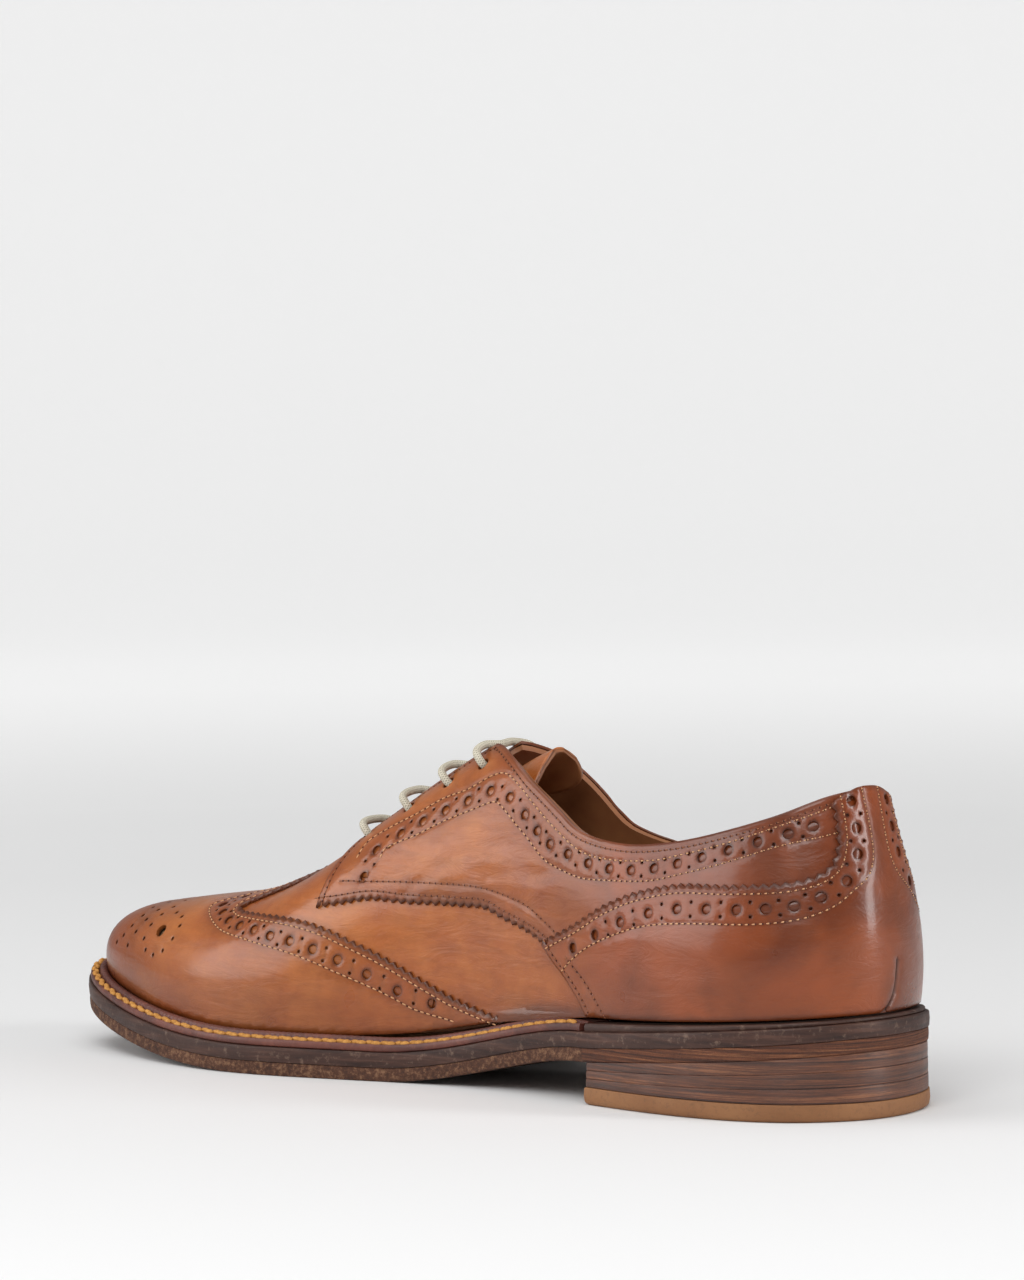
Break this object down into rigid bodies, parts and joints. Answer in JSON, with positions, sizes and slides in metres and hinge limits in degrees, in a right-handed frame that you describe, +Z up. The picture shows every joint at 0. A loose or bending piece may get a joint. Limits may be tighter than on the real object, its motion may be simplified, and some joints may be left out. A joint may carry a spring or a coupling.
{
  "type": "leather derby shoe",
  "caption": "Low welted leather shoe with open lacing, wing-shaped toe cap, heel foxing, tongue, tied-off lace and stacked heel.",
  "frame": {"origin": "centre of the bounding box on the floor plane, the lace left out", "axes": "+X from heel to toe along the sole, +Y to the inner side of the foot, +Z up"},
  "size_m": [0.3006, 0.1001, 0.0984],
  "materials": {
    "tan_leather": "glazed",
    "lining_leather": "satin",
    "leatherboard": "matt",
    "dark_edge": "waxed",
    "rough_sole": "matt",
    "stacked_leather": "waxed",
    "tan_rubber": "satin",
    "welt_leather": "waxed",
    "thread": "waxed",
    "lace_cord": "waxed",
    "steel": "satin",
    "cork": "matt"
  },
  "bodies": {
    "shoe body": {"wing_cap": "tan_leather", "vamp": "tan_leather", "toe_puff": "leatherboard", "vamp_lining": "lining_leather", "quarter_medial": "tan_leather", "quarter_lateral": "tan_leather", "heel_foxing": "tan_leather", "quarter_lining_medial": "lining_leather", "quarter_lining_lateral": "lining_leather", "heel_lining": "lining_leather", "heel_stiffener": "leatherboard", "facing_stay_medial": "leatherboard", "facing_stay_lateral": "leatherboard", "top_piece": "tan_rubber", "heel_lift_1": "stacked_leather", "heel_lift_2": "stacked_leather", "heel_lift_3": "stacked_leather", "outsole": "rough_sole", "midsole": "dark_edge", "welt": "welt_leather", "welt_thread": "thread", "insole_rib": "leatherboard", "heel_rand": "dark_edge", "cork_filler": "cork", "shank": "steel", "insole": "leatherboard", "sock_lining": "lining_leather", "lace": "lace_cord", "aglet_1": "steel", "aglet_2": "steel"},
    "tongue": {"tongue": "lining_leather"}
  },
  "joints": [
    {"name": "tongue_flap", "type": "hinge", "parent": "shoe body", "child": "tongue", "pos_m": [0.042, 0.00255, 0.059], "axis": [0, 1, 0], "range_deg": [-12, 0], "stiffness_Nm_per_rad": 0.4}
  ]
}
